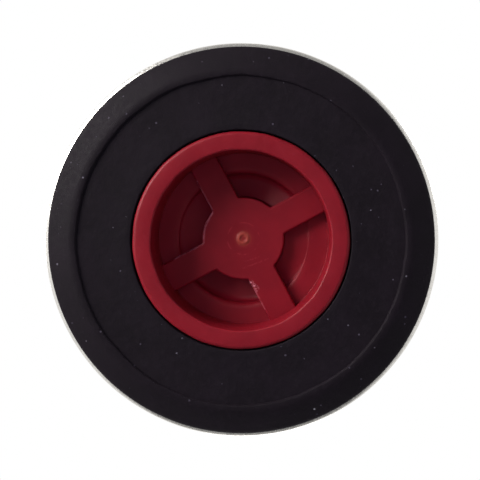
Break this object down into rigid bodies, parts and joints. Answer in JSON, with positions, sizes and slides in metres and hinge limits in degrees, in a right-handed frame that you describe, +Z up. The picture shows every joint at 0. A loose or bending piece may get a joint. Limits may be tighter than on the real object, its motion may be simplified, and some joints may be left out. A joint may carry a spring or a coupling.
{
  "type": "automatic air vent",
  "caption": "Float air vent: metal can with a black rubber base seal round a red inlet guide, and a domed cover with a hexagon and a black screw cap on top.",
  "frame": {"origin": "centre of the plane that the rubber base seal rests on", "axes": "+Z up along the can's axis, from the inlet to the vent cap; +X from the axis towards the lever's pivot"},
  "size_m": [0.0402, 0.0402, 0.0726],
  "materials": {
    "nickel_plate": "satin nickel plate",
    "black_rubber": "moulded, matt",
    "soft_rubber": "matt",
    "zinc_plate": "bright zinc plate",
    "red_plastic": "moulded, satin",
    "spring_steel": "oiled spring steel",
    "float_plastic": "moulded, matt",
    "stainless": "turned or pressed, plain",
    "ivory_plastic": "moulded, satin",
    "brass": "turned",
    "black_plastic": "moulded, satin"
  },
  "bodies": {
    "vent_body": {"housing_can": "nickel_plate", "base_seal": "black_rubber", "support_plate": "zinc_plate", "inlet_guide": "red_plastic", "guide_circlip": "spring_steel", "lever_pin": "stainless", "pin_clip": "spring_steel", "lever_bracket": "stainless", "bracket_screws": "stainless", "lever_spring": "spring_steel", "valve_seat": "brass", "seat_o_ring": "soft_rubber", "cover": "nickel_plate", "cover_o_ring": "soft_rubber"},
    "float": {"float_shell": "float_plastic", "float_base": "float_plastic", "float_stem": "stainless", "link_pin": "stainless"},
    "lever": {"valve_lever": "ivory_plastic", "valve_pad": "soft_rubber"},
    "washer": {"cap_washer": "soft_rubber"},
    "screw_cap": {"vent_cap": "black_plastic"}
  },
  "joints": [
    {"name": "float_slide", "type": "slide", "parent": "vent_body", "child": "float", "axis": [0, 0, 1], "range_m": [0, 0.0045]},
    {"name": "lever_pivot", "type": "hinge", "parent": "vent_body", "child": "lever", "pos_m": [0.007, 0, 0.0425], "axis": [0, 1, 0], "range_deg": [0, 16.7], "deforming": ["lever_spring"]},
    {"name": "cap_lift", "type": "slide", "parent": "vent_body", "child": "washer", "axis": [0, 0, 1], "range_m": [0, 0.00187]},
    {"name": "cap_turn", "type": "hinge", "parent": "washer", "child": "screw_cap", "pos_m": [0, 0, 0.066], "axis": [0, 0, 1], "range_deg": [0, 540]}
  ],
  "couplings": [
    {"joint": "lever_pivot", "follows": "float_slide", "rad_per_m": 64.76},
    {"joint": "cap_turn", "follows": "cap_lift", "rad_per_m": 5026.5}
  ]
}
